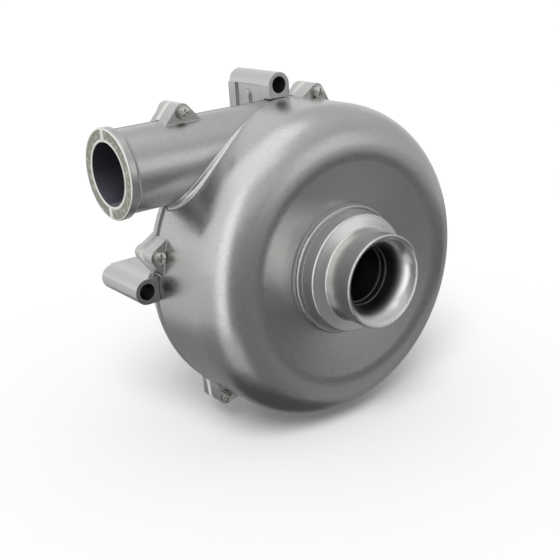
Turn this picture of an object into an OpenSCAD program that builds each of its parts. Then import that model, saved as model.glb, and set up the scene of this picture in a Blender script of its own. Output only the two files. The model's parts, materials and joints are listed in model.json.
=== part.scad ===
// Centrifugal air blower: a cast housing in two halves, a closed impeller, and a motor in the rear can.
// The row frame has its origin at the middle of the flat rear cap, the inlet towards -Y and +Z up.
// Modules work in a local frame seen from the front: x right, y up, z towards the inlet, z = 0 at the
// parting plane of the two halves.

/* [Drum] */
// Outer radius of the round housing
drum_r = 43.3; // [42.5:0.1:45]
// Wall of the cast halves
wall = 2.6; // [2.3:0.1:3]
// Height of the front cover's crest above the parting plane
crest_h = 28.5; // [28:0.5:31]
// Radius of the rounded front shoulder
shoulder_r = 11.5; // [10:0.5:13]
// Slope of the dished front face, in degrees
dish_angle = 12; // [9:0.5:14]
// Thickness of the gasket between the halves
seam_t = 1.6; // [1:0.1:2]
// Thickness of the lip on the rear half, behind the gasket
flange_t = 1.2; // [0.8:0.1:1.5]

/* [Outlet] */
// Radius of the outlet's bore
outlet_r = 8.1; // [7.5:0.1:8.3]
// Wall of the outlet duct
duct_wall = 2.6; // [2.2:0.1:2.7]
// Distance from the drum's side to the outlet's face
duct_out = 10.2; // [8:0.2:14]
// Radius of the ring at the outlet's face
ring_r = 11.6; // [11.4:0.1:12.4]
// Width of that ring's rim
ring_w = 2; // [1.5:0.1:3]
// Radius of the concave fillet behind the ring
ring_fillet = 1.6; // [1.2:0.1:2.4]
// Rounding of the ring's rim
ring_edge = 0.4; // [0.2:0.1:0.6]

/* [Inlet nozzle] */
// Radius of the boss on the cover that carries the nozzle
boss_r = 17.6; // [17.2:0.1:18.4]
// How far the boss's top lies behind the cover's crest
boss_drop = 1.6; // [1.2:0.1:1.8]
// Rounding of the boss's edge
boss_edge = 0.6; // [0.4:0.1:0.9]
// Radius of the nozzle's collar at its foot
collar_foot_r = 16.5; // [16.3:0.1:16.7]
// Radius of the collar at its groove
collar_top_r = 16; // [15.8:0.1:16.2]
// Height of the collar up to its rounded corner
collar_h = 3.5; // [3:0.1:4]
// Radius of the collar's rounded corner
collar_edge = 0.6; // [0.4:0.1:0.9]
// Rise of the collar's face from its corner to the nozzle's root
collar_rise = 1; // [0.5:0.1:1.4]
// Radius of the nozzle's outside, where a hose or duct goes on
nozzle_r = 12.45; // [12.2:0.05:12.8]
// Radius of the fillet at the nozzle's root
nozzle_fillet = 0.6; // [0.4:0.1:1]
// Length of the nozzle's outside, from the collar's face to the lip
nozzle_len = 9.7; // [8:0.1:12]
// Thickness of the nozzle's lip
lip_t = 0.7; // [0.6:0.05:0.9]
// Radius of the throat at the foot of the bell mouth
throat_r = 8.3; // [8.1:0.1:8.6]
// Depth of the bell mouth, from the lip to the throat
bell_depth = 6.6; // [6:0.1:7.5]
// Each inward step of the throat
throat_step = 0.35; // [0.2:0.05:0.4]
// Length of each stepped land in the throat
land_len = 1.7; // [1.2:0.1:2]
// Radius of the nozzle's plug in the cover
plug_r = 13.8; // [13.2:0.1:14.2]

/* [Housing screws] */
// Radius of the ears' round ends
ear_r = 2.3; // [2.1:0.1:2.6]
// Distance from the drum's side to an ear's screw
ear_out = 1.8; // [1.8:0.1:2]
// Distance from the duct's top to its ear's screw
duct_ear_out = 1.8; // [1.7:0.1:2.2]
// Distance from the shaft's axis to the duct's ear
duct_ear_x = 33; // [31:0.5:36]
// Thickness of an ear on the cover
ear_h = 4; // [3.5:0.1:4.6]
// Straight length of an ear's boss on the rear half
ear_back = 2; // [1.5:0.1:3]
// Angle between an ear's flanks and its middle line, in degrees
flank_angle = 42; // [38:1:46]
// Radius of the screws' shanks
screw_r = 1; // [0.9:0.05:1.1]
// Radius of the screws' heads
head_r = 1.7; // [1.5:0.1:1.7]
// Height of the screws' heads
head_h = 1.4; // [1.2:0.1:1.6]
// How far a screw reaches into the rear half
screw_bite = 4; // [3:0.1:4.2]

/* [Mounting lugs] */
// Radius of the lugs' tubes, and half the width of their webs
lug_r = 3.45; // [3.3:0.05:3.8]
// Radius of the lugs' bores
lug_bore_r = 2.25; // [2.1:0.05:2.3]
// Gap between the cover's side and a lug's tube
lug_gap = 0.1; // [0.1:0.05:0.5]
// How far a lug's face stands in front of the parting plane
lug_front = 1; // [0.5:0.1:1.5]
// How far a lug reaches behind the parting plane
lug_back = 18; // [16:0.5:20]
// Depth of the pocket in a lug's flank
pocket_depth = 0.6; // [0.4:0.1:0.8]
// Wall behind a lug's pocket
pocket_wall = 3.2; // [2.5:0.1:4]
// Width of the small rib in the pocket
pocket_rib = 3; // [2.4:0.1:3.4]
// Distance of that rib from the lug's rear end
pocket_rib_back = 6.4; // [6:0.2:7.6]
// Rounding of the lugs' rear ends
lug_edge = 1; // [0.6:0.1:1.6]
// How far a lug's web ends in front of the lug's rear end, at the can
lug_taper = 4; // [2:0.5:6]

/* [Motor can] */
// Depth of the rear cap's flat face behind the parting plane
rear_h = 31.5; // [31:0.5:34]
// How far the motor chamber's wall lies inside the middle of the volute
motor_in = 10.1; // [9.9:0.1:10.5]
// Width of the ledge under the bearing plate
ledge_w = 4.3; // [3.9:0.1:4.8]
// Thickness of that ledge
ledge_t = 3.4; // [3:0.1:3.8]
// Thickness of the rear cap
cap_t = 3; // [2.8:0.1:3.4]
// Thickness of the cap's gasket
cap_seal_t = 0.5; // [0.4:0.1:0.8]
// How far the cap's screws lie outside the can
cap_screw_out = 1.9; // [1.7:0.1:2.5]
// Radius of the bosses round the cap's screws
cap_boss_r = 3.1; // [3:0.1:3.4]
// Length of those bosses
cap_boss_len = 13; // [10:0.5:15]
// Thickness of the ribs between the can and the volute
rib_t = 1.8; // [1.4:0.1:2.4]
// Radius of the hole for the cable's grommet
grommet_r = 2; // [1.8:0.1:2.2]
// Wall of the grommet
grommet_wall = 0.9; // [0.7:0.1:1.1]
// Height and thickness of the grommet's flanges
grommet_flange = 0.8; // [0.6:0.1:1]
// Depth of the shallow recess in the cap's outer face
cap_recess = 0.5; // [0.3:0.1:0.7]
// Width of the flat rim round that recess
recess_rim = 1; // [0.8:0.1:1.5]
// Width of the flat land between the recess and the hub
recess_land = 2; // [1.5:0.1:3]
// Height of the grommet's axis above the cap's inner face
grommet_up = 3.5; // [3.3:0.1:4]

/* [Bearing plate] */
// Skin of the plate over the volute channel
plate_skin = 0.5; // [0.4:0.1:0.8]
// Thickness of the plate's disc
plate_t = 2.8; // [2.6:0.1:3.2]
// How far the disc reaches past the middle of the channel
plate_lip = 2; // [1.5:0.1:2.4]
// How far the plate's screws lie inside the motor chamber's wall
plate_screw_in = 1.5; // [1.3:0.1:1.7]
// Radius of the hub round the front bearing
plate_hub_r = 9.5; // [9.2:0.1:10]
// Thickness of the lip in front of the front bearing
lip_h = 3; // [2.6:0.1:3.2]
// Radial gap between the shaft's sleeve and that lip
lip_gap = 0.9; // [0.6:0.1:1.2]
// Thickness of the circlip
circlip_t = 1; // [0.9:0.1:1.1]
// Radial depth of the circlip's groove
groove_depth = 0.6; // [0.5:0.1:0.7]
// Land of the hub behind the circlip
hub_land = 1.2; // [1:0.1:1.5]

/* [Bearings and shaft] */
// Radius of the bearings' bore
bearing_in = 2.5; // [2.4:0.05:2.6]
// Outer radius of the bearings
bearing_out = 7; // [6.9:0.1:7.2]
// Width of the bearings
bearing_w = 5; // [4.8:0.1:5.2]
// Radius of the bearings' balls
ball_r = 1.4; // [1.3:0.05:1.45]
// Number of balls in a bearing
ball_n = 8; // [7:1:9]
// Clearance between a ball and its groove
ball_gap = 0.05; // [0.03:0.01:0.08]
// Radius of the shaft between the bearings
shaft_r = 3.5; // [3.2:0.1:3.6]
// Rounding of the races' edges
race_edge = 0.3; // [0.2:0.05:0.4]
// Half the gap between the races
race_gap = 0.9; // [0.8:0.05:1]
// Wall of the sleeve between the front bearing and the impeller
spacer_wall = 1.3; // [1.1:0.1:1.5]
// How far the shaft's shoulder lies behind the hub's face
shoulder_drop = 0.4; // [0.3:0.1:0.6]
// Radius of the shaft's threaded front end
thread_r = 2; // [1.9:0.05:2.1]
// Floor of the rear bearing's seat
seat_floor = 1.4; // [1:0.1:1.8]
// Height of the wave spring behind the rear bearing
spring_h = 0.8; // [0.6:0.1:1]
// Thickness of the spring's strip
spring_strip = 0.25; // [0.2:0.05:0.3]
// Width of the spring's strip
spring_w = 1.2; // [1:0.1:1.4]

/* [Impeller] */
// Radius of the impeller
impeller_r = 31.5; // [29:0.5:32.5]
// Number of blades
blade_n = 11; // [9:1:13]
// Thickness of the blades
blade_t = 0.9; // [0.7:0.1:1.2]
// Radius at which the blades begin
blade_in_r = 10.2; // [9.8:0.1:11]
// Angle of the blades at the eye, from the tangent
blade_in_angle = 28; // [24:1:34]
// Angle of the blades at the rim, from the tangent
blade_out_angle = 40; // [34:1:48]
// Height of the blades at the eye
blade_in_h = 6; // [5.5:0.1:6.5]
// Height of the blades at the rim
blade_out_h = 4.2; // [3.6:0.1:4.8]
// Thickness of the impeller's back disc
back_t = 1.5; // [1.2:0.1:1.8]
// Thickness of the impeller's front shroud
shroud_t = 1.2; // [1:0.1:1.4]
// Running gap behind the impeller
back_gap = 1.2; // [0.8:0.1:1.6]
// Inner radius of the shroud's eye
eye_r = 9.6; // [9.4:0.1:9.9]
// Running gap between the eye and the nozzle's tail
eye_gap = 0.4; // [0.3:0.05:0.5]
// Height of the eye's collar over the shroud
eye_h = 1; // [0.8:0.1:1.4]
// Running gap in front of that collar
eye_front_gap = 0.5; // [0.4:0.1:0.8]
// How deep the nozzle's tail reaches into the eye
tail_lap = 0.8; // [0.5:0.1:1]
// Radius of the impeller's hub
hub_r = 6; // [5.6:0.1:6.4]
// Height of the hub above the back disc
hub_h = 3.9; // [3.5:0.1:4.3]
// Radius of the brass bush in the hub
bush_r = 4.2; // [4:0.1:4.4]
// How far the bush stands out behind the back disc
bush_back = 0.6; // [0.4:0.1:0.8]
// Wall of the eye's collar
eye_wall = 1.3; // [1.1:0.1:1.5]
// How far the blades end inside the rim
blade_inset = 0.2; // [0.1:0.05:0.4]
// Radius of the impeller's washer
washer_r = 4.6; // [4.4:0.1:4.8]
// Thickness of the washer
washer_t = 0.8; // [0.6:0.1:1]
// Width of the nut across its flats
nut_flats = 7; // [6.8:0.1:7.2]
// Height of the nut
nut_h = 3.2; // [3:0.1:3.4]
// Height of the nut's turned chamfers
nut_edge = 0.35; // [0.25:0.05:0.4]
// How far the thread stands out of the nut
thread_end = 0.6; // [0.4:0.1:0.8]

/* [Motor] */
// Room from the rear cap to the cores of the stator and the rotor
bay_h = 9; // [8.5:0.5:10]
// Depth of the stator, from the chamber's wall to its bore
stator_t = 11; // [10.7:0.1:11.1]
// Thickness of the stator's yoke
yoke_t = 3; // [2.6:0.1:3.4]
// Number of stator teeth
tooth_n = 6; // [6]
// Width of a stator tooth
tooth_w = 4.4; // [4:0.1:4.8]
// Thickness of a tooth's shoe
shoe_t = 1.4; // [1.2:0.1:1.8]
// Width of the slots' openings
slot_w = 2; // [1.6:0.1:2.6]
// Thickness of a coil
coil_t = 2.2; // [1.8:0.1:2.4]
// Length of a coil along its tooth
coil_len = 4.6; // [4.2:0.1:4.8]
// Gap between a coil and the tooth's shoe
coil_gap = 0.3; // [0.2:0.05:0.4]
// Thickness of the insulation round a tooth
liner_t = 0.5; // [0.4:0.05:0.6]
// Thickness of the insulators' caps on a tooth's ends
liner_cap = 0.6; // [0.5:0.05:0.7]
// Height of the insulators' rims
insulator_h = 3.5; // [3.2:0.1:3.6]
// Air gap between the magnet's sleeve and the stator
air_gap = 0.4; // [0.35:0.05:0.5]
// Thickness of the magnet's sleeve
sleeve_t = 0.3; // [0.2:0.05:0.4]
// Thickness of the magnet ring
magnet_t = 2.6; // [2.2:0.1:3]
// Thickness of the balance rings
balance_t = 1.4; // [1:0.1:1.6]
// How much lower the rear insulator's rim is than the front one's
rim_drop = 1.2; // [1:0.1:1.4]
// Thickness of the circuit board
board_t = 1.2; // [1:0.1:1.6]
// Gap between the stator's lower rim and the board
board_gap = 0.6; // [0.5:0.1:0.8]
// Gap between the board's edge and the motor chamber's wall
board_edge = 1.3; // [1:0.1:1.6]
// Gap between the shaft and the board
board_eye = 1.5; // [1.2:0.1:1.8]
// How far the board's posts lie inside the motor chamber's wall
post_in = 5; // [4.7:0.1:5.3]
// Radius of the board's posts
post_r = 2.2; // [2:0.1:2.4]
// Size of the board's screws against the housing's
small_screw = 0.8; // [0.7:0.05:0.8]
// Width and depth of the notch for the wires in the board's edge
notch = [6, 2.4]; // [2:0.1:8]
// Length, width and height of the power switches
switch = [5.2, 4.4, 1.1]; // [1:0.1:6]
// Radius and height of the capacitors
capacitor = [2, 3.6]; // [1.5:0.1:4]
// Width, depth and height of the row of pins
pins = [8, 2.2, 1.6]; // [1:0.1:9]
// Length, width and height of the hall sensors
hall = [2, 3, 0.5]; // [0.4:0.1:4]
// How far the switches lie inside the motor chamber's wall
switch_in = 7.5; // [7.2:0.1:7.8]
// How far the capacitors lie inside that wall
capacitor_in = 5.1; // [4.9:0.1:5.3]
// How far the pins lie inside that wall
pins_in = 4.4; // [4.2:0.1:4.6]
// How far the hall sensors lie inside the stator's bore
hall_in = 2.7; // [2.4:0.1:3]

/* [Hidden] */
$fn = 96;

// A length that reaches past every solid, for cuts and half spaces
past = 150;
// How far a cut runs past the face that it opens
over = 1;
// Radial clearance of a clearance hole, of a thread and of a light press seat
hole_gap = 0.2;
fit_gap = 0.02;

// Volute and duct: a channel of round section, a little wider than the bore, whose middle circle
// meets the duct's axis
channel_r = outlet_r + 0.2;
tube_r = channel_r + wall;
duct_r = outlet_r + duct_wall;
channel_c = drum_r - tube_r;
cavity_r = drum_r - wall;
face_x = -(drum_r + duct_out);

// Front cover: where the straight dished face meets the round shoulder
dish_r = drum_r - shoulder_r - shoulder_r * sin(dish_angle);
dish_z = crest_h - shoulder_r + shoulder_r * cos(dish_angle);
function face_z(r) = dish_z - (dish_r - r) * tan(dish_angle);
boss_z = crest_h - boss_drop;

// Angles of the drum's ears and of the mounting lugs
EARS = [76.3, 168, 232.7, 302, 30];
LUGS = [90, 180, 315];
RIBS = [0, 22.5, 45, 67.5, 112.5, 135, 157.5, 202.5, 225, 247.5, 292.5];
ear_c = drum_r + ear_out;
lug_c = drum_r + lug_gap + lug_r;

// Heights of the bearing plate and the impeller
plate_z = channel_r + plate_skin;
plate_top = plate_z + plate_t;
plate_r = channel_c + plate_lip;
front_bearing_z = plate_top - lip_h - bearing_w;
circlip_z = front_bearing_z - circlip_t;
plate_hub_z = circlip_z - hub_land;
back_z = plate_top + back_gap;
blade_z = back_z + back_t;
hub_z = blade_z + hub_h;
eye_z = blade_z + blade_in_h + shroud_t;
collar_z = eye_z + eye_h;
tail_z = collar_z - tail_lap;
plug_z = collar_z + eye_front_gap;
bush_z = back_z - bush_back;
nut_z = hub_z + washer_t;
shaft_step_z = hub_z - shoulder_drop;

// Nozzle
lip_z = boss_z + collar_h + collar_edge + nozzle_len;
lip_edge = lip_t / 2;
bell_z = lip_z - bell_depth;
bell_w = nozzle_r - lip_t - throat_r;
bell_h = bell_depth - lip_edge;
bell_r = (bell_h * bell_h + bell_w * bell_w) / (2 * bell_w);
tail_r = eye_r - eye_gap;
tail_in_r = throat_r - 2 * throat_step;

// Motor
motor_r = channel_c - motor_in;
ledge_r = motor_r - ledge_w;
can_r = motor_r + wall;
cap_screw_c = can_r + cap_screw_out;
plate_screw_c = motor_r - plate_screw_in;
ledge_z = -seam_t - ledge_t;
can_z = -rear_h + cap_t + cap_seal_t;
cap_z = -rear_h + cap_t;
core_top = ledge_z - insulator_h;
core_low = cap_z + bay_h;
core_len = core_top - core_low;
stator_in_r = motor_r - stator_t;
rim_low = core_low - insulator_h + rim_drop;
coil_z = (core_top + core_low) / 2;
coil_x = stator_in_r + shoe_t + coil_gap;
board_z = rim_low - board_gap - board_t;
sleeve_r = stator_in_r - air_gap;
magnet_r = sleeve_r - sleeve_t;
core_r = magnet_r - magnet_t;
rear_bearing_z = -rear_h + seat_floor + spring_h;
shaft_low = rear_bearing_z + bearing_w;
yoke_r = motor_r - fit_gap;
yoke_in_r = yoke_r - yoke_t;
CAP_SCREWS = [for (i = [0:3]) 22.5 + 90 * i];
PLATE_SCREWS = [for (i = [0:3]) 45 + 90 * i];
BOARD_SCREWS = [90, 210, 330];
grommet_z = cap_z + grommet_up;
board_r = motor_r - board_edge;
board_hole_r = shaft_r + board_eye;
post_c = motor_r - post_in;
SWITCHES = [for (i = [0:5]) 60 * i];
switch_c = motor_r - switch_in;
CAPACITORS = [130, 250];
capacitor_c = motor_r - capacitor_in;
pins_c = motor_r - pins_in;
HALLS = [30, 90, 150];
hall_c = max(stator_in_r - hall_in, board_hole_r + hall[0]);

// Bearings: the balls' middle circle, and the spring's rings
ball_c = (bearing_in + bearing_out) / 2;
spring_out_r = bearing_out - 0.2;
spring_in_r = spring_out_r - spring_w;
spring_steps = 48;
spring_waves = 3;

// Puts a local shape into the row frame
module placed() translate([0, -rear_h, 0]) rotate([90, 0, 0]) children();

// Keeps what lies between two heights
module slab(low, high) intersection() {
    children();
    translate([-past, -past, low]) cube([2 * past, 2 * past, high - low]);
}

module at_angle(angle, distance) rotate([0, 0, angle]) translate([distance, 0, 0]) children();

module ring(outer, inner, height) difference() {
    cylinder(r = outer, h = height);
    translate([0, 0, -over]) cylinder(r = inner, h = height + 2 * over);
}

// Countersunk head, its flat face at z = 0 and its shank downwards
module countersink(extra) {
    head_depth = head_r - screw_r;
    translate([0, 0, -head_depth]) cylinder(r1 = screw_r + extra, r2 = head_r + extra, h = head_depth);
}

module cross_recess(depth) for (turn = [0, 90])
    rotate([0, 0, turn]) translate([-head_r * 0.6, -head_r * 0.15, -depth])
        cube([head_r * 1.2, head_r * 0.3, depth + over]);

module pan_screw(length) difference() {
    union() {
        translate([0, 0, -length]) cylinder(r = screw_r, h = length + head_h / 2);
        rotate_extrude() intersection() {
            translate([0, head_h - 1.9 * head_r]) circle(r = 1.9 * head_r);
            square([head_r, head_h]);
        }
    }
    translate([0, 0, head_h]) cross_recess(head_h * 0.6);
}

module flat_screw(length) difference() {
    union() {
        countersink(0);
        translate([0, 0, -length]) cylinder(r = screw_r, h = length);
    }
    cross_recess((head_r - screw_r) * 0.8);
}

// Half section of the drum, r to the right and z up, set in from the outside
module drum_profile(inset) {
    shoulder = shoulder_r - inset;
    top = crest_h - shoulder_r;
    tip_r = drum_r - shoulder_r - shoulder * sin(dish_angle);
    tip_z = top + shoulder * cos(dish_angle);
    square([drum_r - inset, top]);
    translate([drum_r - shoulder_r, top]) circle(r = shoulder);
    polygon([[0, 0], [drum_r - shoulder_r, 0], [drum_r - shoulder_r, top], [tip_r, tip_z],
        [0, tip_z - tip_r * tan(dish_angle)]]);
}

// Outside of the duct as a turned piece along -x: tube, concave fillet and ring
module duct_outside() translate([face_x, channel_c, 0]) rotate([0, 90, 0]) rotate_extrude() {
    rise = ring_r - duct_r;
    run = sqrt(ring_fillet * ring_fillet - (ring_fillet - rise) * (ring_fillet - rise));
    square([duct_r, -face_x]);
    difference() {
        square([ring_r, ring_w]);
        translate([ring_r - ring_edge, 0]) square(ring_edge);
    }
    translate([ring_r - ring_edge, ring_edge]) circle(r = ring_edge);
    difference() {
        translate([duct_r - over, ring_w]) square([rise + over, run]);
        translate([duct_r + ring_fillet, ring_w + run]) circle(r = ring_fillet);
    }
}

module duct_bore() translate([face_x - over, channel_c, 0]) rotate([0, 90, 0])
    cylinder(r = outlet_r, h = over - face_x);

// Round-section channel of the volute
module channel() rotate_extrude() translate([channel_c, 0]) circle(r = channel_r);

// Outline of an ear round its screw, outwards along +x, with straight flanks down to the wall
module ear_outline(out) {
    foot = out + over;
    side_x = ear_r * sin(flank_angle);
    side_y = ear_r * cos(flank_angle);
    foot_y = side_y + (side_x + foot) * tan(flank_angle);
    circle(r = ear_r);
    polygon([[side_x, side_y], [-foot, foot_y], [-foot, -foot_y], [side_x, -side_y]]);
}

// Puts its children at every housing screw, with the distance from the screw to the wall
module at_ears() {
    for (angle = EARS) at_angle(angle, ear_c) {
        $out = ear_out;
        children();
    }
    translate([-duct_ear_x, channel_c + duct_r + duct_ear_out, 0]) rotate([0, 0, 90]) {
        $out = duct_ear_out;
        children();
    }
}

module cover_ear() linear_extrude(height = ear_h) ear_outline($out);

// Boss of an ear on the rear half, with a round back that runs into the volute
module rear_ear() {
    reach = $out + tube_r / 2;
    translate([0, 0, -seam_t - ear_back]) {
        linear_extrude(height = ear_back + over) ear_outline($out);
        sphere(r = ear_r);
        rotate([0, -90, 0]) cylinder(r = ear_r, h = reach);
    }
}

// Screw lug outwards along +x: a tube with a flat web that runs in to the can
module lug() {
    rib_top = drum_r + pocket_depth;
    difference() {
        union() {
            translate([lug_c, 0, 0]) rotate_extrude() {
                translate([0, -lug_back + lug_edge]) square([lug_r, lug_back + lug_front - lug_edge]);
                translate([lug_r - lug_edge, -lug_back + lug_edge]) circle(r = lug_edge);
                translate([0, -lug_back]) square([lug_r - lug_edge, lug_edge]);
            }
            translate([0, lug_r, 0]) rotate([90, 0, 0]) linear_extrude(height = 2 * lug_r) polygon([
                [can_r - over, -seam_t - ledge_t], [drum_r + lug_gap, -seam_t], [drum_r + lug_gap, lug_front],
                [lug_c, lug_front], [lug_c, -lug_back], [channel_c, -lug_back],
                [can_r - over, -lug_back + lug_taper]]);
        }
        difference() {
            translate([channel_c, lug_r - pocket_depth, -lug_back + pocket_wall])
                cube([lug_c - channel_c, pocket_depth + over, lug_back - pocket_wall - seam_t - flange_t]);
            translate([0, lug_r - pocket_depth - over, -lug_back + pocket_rib_back]) {
                translate([channel_c, 0, 0]) cube([rib_top - channel_c, pocket_depth + over, pocket_rib]);
                translate([rib_top, 0, pocket_rib / 2]) rotate([-90, 0, 0])
                    cylinder(r = pocket_rib / 2, h = pocket_depth + over);
            }
        }
    }
}

// Housing

module front_cover() color("darkgray") placed() difference() {
    union() {
        rotate_extrude() drum_profile(0);
        rotate_extrude() {
            square([boss_r, boss_z - boss_edge]);
            square([boss_r - boss_edge, boss_z]);
            translate([boss_r - boss_edge, boss_z - boss_edge]) circle(r = boss_edge);
        }
        slab(0, ring_r + over) duct_outside();
        at_ears() cover_ear();
    }
    translate([0, 0, -over]) cylinder(r = cavity_r, h = 2 * over);
    rotate_extrude() drum_profile(wall);
    duct_bore();
    cylinder(r = plug_r + fit_gap, h = past);
    at_ears() translate([0, 0, -over]) cylinder(r = screw_r + hole_gap, h = ear_h + 2 * over);
}

module inlet_nozzle() color("silver") placed() rotate_extrude() difference() {
    union() {
        corner_z = boss_z + collar_h;
        face = corner_z + collar_edge;
        face_r = collar_top_r - collar_edge;
        slope = atan(collar_rise / (face_r - nozzle_r));
        fillet_r = nozzle_r + nozzle_fillet;
        fillet_z = face + collar_rise - nozzle_fillet * tan(slope) + nozzle_fillet / cos(slope);
        translate([0, tail_z]) square([tail_r, boss_z - tail_z]);
        translate([0, plug_z]) square([plug_r, boss_z - plug_z]);
        polygon([[0, boss_z], [collar_foot_r, boss_z], [collar_top_r, corner_z], [0, corner_z]]);
        translate([face_r, corner_z]) circle(r = collar_edge);
        polygon([[0, corner_z], [face_r, corner_z], [face_r, face], [nozzle_r, face + collar_rise],
            [0, face + collar_rise]]);
        translate([0, face]) square([nozzle_r, lip_z - lip_edge - face]);
        translate([nozzle_r - lip_edge, lip_z - lip_edge]) circle(r = lip_edge);
        difference() {
            polygon([[0, face], [fillet_r - nozzle_fillet * sin(slope), fillet_z - nozzle_fillet * cos(slope)],
                [fillet_r, fillet_z], [0, fillet_z]]);
            translate([fillet_r, fillet_z]) circle(r = nozzle_fillet);
        }
    }
    difference() {
        translate([0, bell_z]) square([nozzle_r - lip_t, past]);
        translate([throat_r + bell_r, bell_z]) circle(r = bell_r);
    }
    translate([0, bell_z - land_len]) square([throat_r, past]);
    translate([0, bell_z - 2 * land_len]) square([throat_r - throat_step, past]);
    square([tail_in_r, past]);
}

module housing_gasket() color("gainsboro") placed() difference() {
    union() {
        translate([0, 0, -seam_t]) cylinder(r = drum_r, h = seam_t);
        slab(-seam_t, 0) duct_outside();
        translate([0, 0, -seam_t]) at_ears() linear_extrude(height = seam_t) ear_outline($out);
    }
    translate([0, 0, -seam_t - over]) cylinder(r = cavity_r, h = seam_t + 2 * over);
    duct_bore();
    at_ears() translate([0, 0, -seam_t - over]) cylinder(r = screw_r + hole_gap, h = seam_t + 2 * over);
}

module rear_housing() color("gray") placed() difference() {
    union() {
        slab(-tube_r - over, -seam_t) rotate_extrude() {
            translate([channel_c, 0]) circle(r = tube_r);
            translate([ledge_r, -tube_r / 2]) square([channel_c - ledge_r, tube_r / 2]);
        }
        translate([0, 0, -seam_t - flange_t]) cylinder(r = drum_r, h = flange_t);
        slab(-tube_r - over, -seam_t) duct_outside();
        slab(-past, -seam_t) at_ears() rear_ear();
        for (angle = LUGS) at_angle(angle, 0) lug();
        slab(can_z, -seam_t) translate([0, 0, can_z - over]) {
            cylinder(r = can_r, h = -can_z);
            for (angle = CAP_SCREWS) at_angle(angle, cap_screw_c) cylinder(r = cap_boss_r, h = cap_boss_len);
        }
        can_ribs();
    }
    channel();
    duct_bore();
    translate([0, 0, -seam_t - over]) cylinder(r = ledge_r, h = 2 * over);
    translate([0, 0, can_z - over]) {
        cylinder(r = ledge_r, h = past);
        cylinder(r = motor_r, h = ledge_z - can_z + over);
    }
    at_ears() translate([0, 0, -seam_t - screw_bite]) cylinder(r = screw_r + fit_gap, h = screw_bite + over);
    for (angle = LUGS) at_angle(angle, lug_c) translate([0, 0, -lug_back - over])
        cylinder(r = lug_bore_r, h = lug_back + lug_front + 2 * over);
    for (angle = PLATE_SCREWS) at_angle(angle, plate_screw_c) translate([0, 0, ledge_z - over])
        cylinder(r = screw_r + fit_gap, h = ledge_t + 2 * over);
    for (angle = CAP_SCREWS) at_angle(angle, cap_screw_c) translate([0, 0, can_z - over])
        cylinder(r = screw_r + fit_gap, h = cap_boss_len);
    translate([0, 0, grommet_z]) rotate([90, 0, 0]) cylinder(r = grommet_r + fit_gap, h = past);
}

// Webs between the volute's back and the can, clear of the lugs
module can_ribs() for (angle = RIBS)
    at_angle(angle, 0) translate([0, rib_t / 2, 0]) rotate([90, 0, 0]) linear_extrude(height = rib_t)
        polygon([[can_r - over, -seam_t - ledge_t], [channel_c, -tube_r + wall / 2],
            [channel_c + wall, -tube_r + wall / 2], [can_r - over, -lug_back]]);

module cover_screws() color("silver") placed() at_ears() translate([0, 0, ear_h])
    pan_screw(ear_h + seam_t + screw_bite - over / 2);

// Bearing plate

module bearing_plate() color("lightgray") placed() difference() {
    union() {
        rotate_extrude() difference() {
            union() {
                translate([0, plate_z]) square([plate_r, plate_t]);
                translate([ledge_r, -seam_t]) square([channel_c - ledge_r, plate_z + seam_t]);
            }
            translate([channel_c, 0]) circle(r = channel_r);
            translate([channel_c - channel_r, -past]) square([past, past]);
        }
        translate([0, 0, plate_hub_z]) cylinder(r = plate_hub_r, h = plate_z - plate_hub_z + over);
        for (i = [0:5]) rotate([0, 0, 60 * i + 15]) translate([plate_hub_r - over, -rib_t / 2, plate_hub_z])
            cube([ledge_r - plate_hub_r + 2 * over, rib_t, plate_z - plate_hub_z + over]);
    }
    translate([0, 0, plate_hub_z - over]) cylinder(r = bearing_out + fit_gap,
        h = front_bearing_z + bearing_w - plate_hub_z + over);
    translate([0, 0, circlip_z]) cylinder(r = bearing_out + groove_depth, h = circlip_t);
    translate([0, 0, plate_z - over]) cylinder(r = bearing_in + spacer_wall + lip_gap,
        h = plate_t + 2 * over);
    for (angle = PLATE_SCREWS) at_angle(angle, plate_screw_c) {
        translate([0, 0, -seam_t - over]) cylinder(r = screw_r + hole_gap, h = past);
        translate([0, 0, plate_top]) countersink(hole_gap);
    }
}

module plate_screws() color("silver") placed() for (angle = PLATE_SCREWS) at_angle(angle, plate_screw_c)
    translate([0, 0, plate_top]) flat_screw(plate_top - ledge_z - over / 2);

// Rotor

// Outline of one blade: an arc whose angles to the tangent at its two ends are the named ones
module blade_outline() {
    arc_r = (impeller_r * impeller_r - blade_in_r * blade_in_r)
        / (2 * (impeller_r * cos(blade_out_angle) - blade_in_r * cos(blade_in_angle)));
    centre = sqrt(arc_r * arc_r + blade_in_r * blade_in_r - 2 * arc_r * blade_in_r * cos(blade_in_angle));
    intersection() {
        translate([centre, 0]) difference() {
            circle(r = arc_r + blade_t / 2);
            circle(r = arc_r - blade_t / 2);
        }
        difference() {
            circle(r = impeller_r - blade_inset);
            circle(r = blade_in_r);
        }
        translate([-past, 0]) square([2 * past, past]);
    }
}

// Half section of the passage between the back disc and the shroud
module passage_profile() {
    slope = (blade_in_h - blade_out_h) / (impeller_r - blade_in_r);
    polygon([[0, blade_z - over], [impeller_r + over, blade_z - over],
        [impeller_r + over, blade_z + blade_out_h - over * slope],
        [0, blade_z + blade_in_h + blade_in_r * slope]]);
}

module impeller() color("dimgray") placed() difference() {
    union() {
        translate([0, 0, back_z]) cylinder(r = impeller_r, h = back_t);
        intersection() {
            translate([0, 0, blade_z - over / 2]) linear_extrude(height = blade_in_h + over)
                for (i = [0:blade_n - 1]) rotate([0, 0, 360 * i / blade_n]) blade_outline();
            rotate_extrude() passage_profile();
        }
        rotate_extrude() difference() {
            translate([0, blade_z - over / 2]) square([hub_r + hub_h - over, hub_h + over / 2]);
            translate([hub_r + hub_h, hub_z]) circle(r = hub_h);
            translate([hub_r, hub_z]) square(hub_h);
        }
    }
    translate([0, 0, back_z - over]) cylinder(r = bush_r, h = past);
}

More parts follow.
